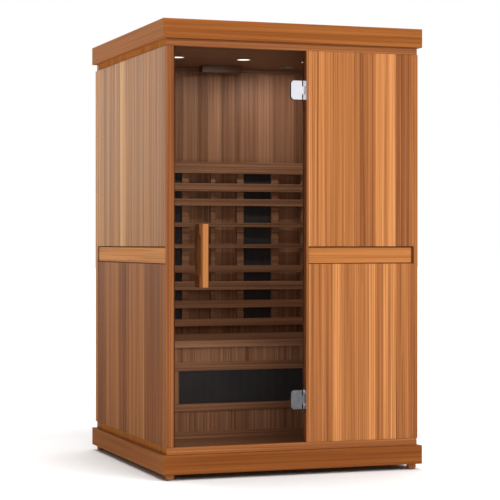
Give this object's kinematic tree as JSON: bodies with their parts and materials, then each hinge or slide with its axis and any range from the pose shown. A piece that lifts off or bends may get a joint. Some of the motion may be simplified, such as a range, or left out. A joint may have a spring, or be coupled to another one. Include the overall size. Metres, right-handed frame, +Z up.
{
  "type": "infrared sauna cabin",
  "caption": "Upright boarded timber sauna cabin with a tinted glass door on clamp hinges, a heated bench, a slatted backrest over flat heaters and lamps in the ceiling.",
  "frame": {"origin": "on the ground, under the middle of the bounding box, which the door handle makes longer at the front", "axes": "+Z up, -Y out of the front with the door, +X to the right of someone facing the door"},
  "size_m": [1.2, 1.2494, 1.96],
  "materials": {
    "cedar_boards": "clear satin varnish over vertical-grain cedar",
    "cedar_trim": "clear satin varnish",
    "cedar_fascia": "clear satin varnish",
    "cedar_plinth": "clear satin varnish",
    "cedar_inside": "bare planed timber",
    "cedar_handle": "smooth oiled timber",
    "bronze_glass": "toughened glass with a bronze tint",
    "satin_nickel": "satin nickel plate",
    "steel": "turned steel",
    "heater_black": "matt black emitter panel",
    "lamp_lens": "opal lens",
    "grey_plastic": "fine texture",
    "black_plastic": "fine texture",
    "power_box_paint": "powder coat"
  },
  "bodies": {
    "cabin": {"left_upper_boards": "cedar_boards", "left_lower_boards": "cedar_boards", "right_upper_boards": "cedar_boards", "right_lower_boards": "cedar_boards", "front_upper_boards": "cedar_boards", "front_lower_boards": "cedar_boards", "rear_wall_panel": "cedar_boards", "left_wall_panel": "cedar_trim", "right_wall_panel": "cedar_trim", "front_wall_panel": "cedar_trim", "left_mid_rail": "cedar_trim", "right_mid_rail": "cedar_trim", "front_mid_rail": "cedar_trim", "door_jamb": "cedar_trim", "door_header": "cedar_trim", "door_sill": "cedar_trim", "fascia_front": "cedar_fascia", "fascia_rear": "cedar_fascia", "fascia_left": "cedar_fascia", "fascia_right": "cedar_fascia", "roof_cover": "cedar_fascia", "plinth_front": "cedar_plinth", "plinth_rear": "cedar_plinth", "plinth_left": "cedar_plinth", "plinth_right": "cedar_plinth", "foot_front_left": "cedar_plinth", "foot_front_right": "cedar_plinth", "foot_rear_left": "cedar_plinth", "foot_rear_right": "cedar_plinth", "floor_panel": "cedar_inside", "ceiling_panel": "cedar_inside", "bench_seat": "cedar_inside", "bench_front": "cedar_inside", "backrest": "cedar_inside", "ceiling_light_box": "cedar_inside", "upper_hinge_bracket": "satin_nickel", "lower_hinge_bracket": "satin_nickel", "upper_hinge_pin": "steel", "lower_hinge_pin": "steel", "bench_heater": "heater_black", "rear_heater_left": "heater_black", "rear_heater_right": "heater_black", "ceiling_lamp_left": "lamp_lens", "ceiling_lamp_middle": "lamp_lens", "ceiling_lamp_right": "lamp_lens", "ceiling_vent": "grey_plastic", "control_panel": "black_plastic", "power_gland": "black_plastic", "power_box": "power_box_paint"},
    "door": {"door_glass": "bronze_glass", "outer_handle": "cedar_handle", "inner_handle": "cedar_handle", "handle_stud_upper": "steel", "handle_stud_lower": "steel", "upper_hinge_clamp": "satin_nickel", "lower_hinge_clamp": "satin_nickel"},
    "power_button": {"power_button": "grey_plastic"},
    "cooler_button": {"cooler_button": "grey_plastic"},
    "warmer_button": {"warmer_button": "grey_plastic"},
    "light_button": {"light_button": "grey_plastic"}
  },
  "joints": [
    {"name": "door_swing", "type": "hinge", "parent": "cabin", "child": "door", "pos_m": [0.0445, -0.57035, 0.99], "axis": [0, 0, 1], "range_deg": [0, 90]},
    {"name": "power_button_press", "type": "slide", "parent": "cabin", "child": "power_button", "axis": [0, -1, 0], "range_m": [0, 0.001], "stiffness_N_per_m": 1000},
    {"name": "cooler_button_press", "type": "slide", "parent": "cabin", "child": "cooler_button", "axis": [0, -1, 0], "range_m": [0, 0.001], "stiffness_N_per_m": 1000},
    {"name": "warmer_button_press", "type": "slide", "parent": "cabin", "child": "warmer_button", "axis": [0, -1, 0], "range_m": [0, 0.001], "stiffness_N_per_m": 1000},
    {"name": "light_button_press", "type": "slide", "parent": "cabin", "child": "light_button", "axis": [0, -1, 0], "range_m": [0, 0.001], "stiffness_N_per_m": 1000}
  ]
}
